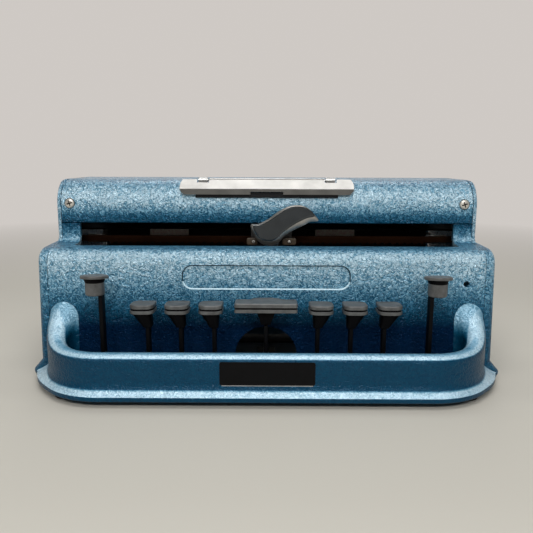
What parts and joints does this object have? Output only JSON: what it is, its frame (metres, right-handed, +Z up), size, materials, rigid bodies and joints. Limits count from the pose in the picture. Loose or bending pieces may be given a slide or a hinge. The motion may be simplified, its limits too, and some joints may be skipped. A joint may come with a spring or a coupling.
{
  "type": "braille typewriter",
  "caption": "Mechanical braille typewriter in a blue cast body, with a front carrying bar, fanned-out keys, a slot-guided carriage with a head lever, and side knobs.",
  "frame": {"origin": "bottom centre of the overall box, on the plane of the rubber feet", "axes": "+X to the operator's right, +Y towards the machine's back, +Z up; the carrying bar is at the front, towards -Y"},
  "size_m": [0.386, 0.229, 0.1594],
  "materials": {
    "enamel": "blue wrinkled stoving enamel",
    "keys": "satin dark grey moulding",
    "blackened": "blackened pressed steel",
    "carriage": "dark coated die casting",
    "steel": "bright plated steel",
    "brass": "plain brass",
    "rubber": "matt black rubber",
    "paddle": "dark polished casting",
    "knob": "black moulding"
  },
  "bodies": {
    "machine": {"base_casting": "enamel", "front_cover": "enamel", "side_panel_left": "enamel", "side_panel_right": "enamel", "top_hood": "enamel", "rear_cover": "enamel", "bottom_plate": "steel", "foot_front_left": "rubber", "foot_front_right": "rubber", "foot_rear_left": "rubber", "foot_rear_right": "rubber", "key_shaft": "steel", "key_comb": "steel", "front_rail": "steel", "rear_rail": "steel", "escapement_rack": "brass", "paper_deck": "steel", "margin_bar": "steel", "rest_bracket_left": "steel", "rest_bracket_right": "steel", "rest_hinge_pin": "steel", "bell_gong": "brass"},
    "dot_key_1": {"dot_key_1_cap": "keys", "dot_key_1_lever": "blackened"},
    "dot_key_2": {"dot_key_2_cap": "keys", "dot_key_2_lever": "blackened"},
    "dot_key_3": {"dot_key_3_cap": "keys", "dot_key_3_lever": "blackened"},
    "dot_key_4": {"dot_key_4_cap": "keys", "dot_key_4_lever": "blackened"},
    "dot_key_5": {"dot_key_5_cap": "keys", "dot_key_5_lever": "blackened"},
    "dot_key_6": {"dot_key_6_cap": "keys", "dot_key_6_lever": "blackened"},
    "space_key": {"space_key_cap": "keys", "space_key_lever": "blackened"},
    "line_key": {"line_key_cap": "keys", "line_key_lever": "blackened"},
    "backspace_key": {"backspace_key_cap": "keys", "backspace_key_lever": "blackened"},
    "carriage": {"carriage_body": "carriage"},
    "head_lever": {"head_lever": "paddle"},
    "paper_feed": {"feed_roller": "rubber", "feed_knob_left": "knob", "feed_knob_right": "knob", "ratchet_wheel": "steel"},
    "line_pawl": {"line_pawl": "steel"},
    "release_lever_left": {"release_lever_left": "steel"},
    "release_lever_right": {"release_lever_right": "steel"},
    "reading_rest": {"reading_rest": "steel"},
    "margin_stop_left": {"margin_stop_left": "knob"},
    "margin_stop_right": {"margin_stop_right": "knob"},
    "mainspring_drum": {"mainspring_drum": "steel"},
    "bell_hammer": {"bell_hammer": "steel"}
  },
  "joints": [
    {"name": "dot_key_1_press", "type": "hinge", "parent": "machine", "child": "dot_key_1", "pos_m": [-0.08847, -0.01, 0.02], "axis": [1, 0, 0], "range_deg": [0, 7], "stiffness_Nm_per_rad": 0.5, "springref_deg": -8.59},
    {"name": "dot_key_2_press", "type": "hinge", "parent": "machine", "child": "dot_key_2", "pos_m": [-0.06368, -0.01, 0.02], "axis": [1, 0, 0], "range_deg": [0, 7], "stiffness_Nm_per_rad": 0.5, "springref_deg": -8.59},
    {"name": "dot_key_3_press", "type": "hinge", "parent": "machine", "child": "dot_key_3", "pos_m": [-0.03877, -0.01, 0.02], "axis": [1, 0, 0], "range_deg": [0, 7], "stiffness_Nm_per_rad": 0.5, "springref_deg": -8.59},
    {"name": "dot_key_4_press", "type": "hinge", "parent": "machine", "child": "dot_key_4", "pos_m": [0.03877, -0.01, 0.02], "axis": [1, 0, 0], "range_deg": [0, 7], "stiffness_Nm_per_rad": 0.5, "springref_deg": -8.59},
    {"name": "dot_key_5_press", "type": "hinge", "parent": "machine", "child": "dot_key_5", "pos_m": [0.06368, -0.01, 0.02], "axis": [1, 0, 0], "range_deg": [0, 7], "stiffness_Nm_per_rad": 0.5, "springref_deg": -8.59},
    {"name": "dot_key_6_press", "type": "hinge", "parent": "machine", "child": "dot_key_6", "pos_m": [0.08847, -0.01, 0.02], "axis": [1, 0, 0], "range_deg": [0, 7], "stiffness_Nm_per_rad": 0.5, "springref_deg": -8.59},
    {"name": "space_key_press", "type": "hinge", "parent": "machine", "child": "space_key", "pos_m": [0, -0.01, 0.02], "axis": [1, 0, 0], "range_deg": [0, 7], "stiffness_Nm_per_rad": 0.5, "springref_deg": -8.59},
    {"name": "line_key_press", "type": "hinge", "parent": "machine", "child": "line_key", "pos_m": [-0.1227, -0.01, 0.02], "axis": [1, 0, 0], "range_deg": [0, 7], "stiffness_Nm_per_rad": 0.5, "springref_deg": -8.59},
    {"name": "backspace_key_press", "type": "hinge", "parent": "machine", "child": "backspace_key", "pos_m": [0.1227, -0.01, 0.02], "axis": [1, 0, 0], "range_deg": [0, 7], "stiffness_Nm_per_rad": 0.5, "springref_deg": -8.59},
    {"name": "carriage_travel", "type": "slide", "parent": "machine", "child": "carriage", "axis": [1, 0, 0], "range_m": [-0.1375, 0.1295]},
    {"name": "head_lever_tip", "type": "hinge", "parent": "carriage", "child": "head_lever", "pos_m": [0.004, -0.01932, 0.0996], "axis": [1, 0, 0], "range_deg": [0, 8], "stiffness_Nm_per_rad": 0.4, "springref_deg": -8.59},
    {"name": "paper_feed_turn", "type": "hinge", "parent": "machine", "child": "paper_feed", "pos_m": [0, 0.05002, 0.1], "axis": [1, 0, 0], "continuous": true},
    {"name": "line_pawl_lift", "type": "slide", "parent": "machine", "child": "line_pawl", "axis": [0, 0, 1], "range_m": [0, 0.0048]},
    {"name": "release_left_turn", "type": "hinge", "parent": "machine", "child": "release_lever_left", "pos_m": [-0.1737, 0.06005, 0.13], "axis": [1, 0, 0], "range_deg": [0, 15]},
    {"name": "release_right_turn", "type": "hinge", "parent": "machine", "child": "release_lever_right", "pos_m": [0.1737, 0.06005, 0.13], "axis": [1, 0, 0], "range_deg": [0, 15]},
    {"name": "reading_rest_fold", "type": "hinge", "parent": "machine", "child": "reading_rest", "pos_m": [0, -0.0095, 0.157], "axis": [-1, 0, 0], "range_deg": [0, 135]},
    {"name": "margin_left_slide", "type": "slide", "parent": "machine", "child": "margin_stop_left", "axis": [1, 0, 0], "range_m": [0, 0.11]},
    {"name": "margin_right_slide", "type": "slide", "parent": "machine", "child": "margin_stop_right", "axis": [1, 0, 0], "range_m": [-0.11, 0]},
    {"name": "mainspring_turn", "type": "hinge", "parent": "machine", "child": "mainspring_drum", "pos_m": [-0.14, 0.07199, 0.014], "axis": [0, 0, 1], "range_deg": [-420, 400]},
    {"name": "bell_strike", "type": "hinge", "parent": "machine", "child": "bell_hammer", "pos_m": [0.112, 0.048, 0.024], "axis": [0, 0, 1], "range_deg": [-9, 0], "stiffness_Nm_per_rad": 0.02, "springref_deg": 5.73}
  ],
  "couplings": [
    {"joint": "line_pawl_lift", "follows": "line_key_press", "m_per_rad": 0.038},
    {"joint": "mainspring_turn", "follows": "carriage_travel", "rad_per_m": 52.632}
  ]
}
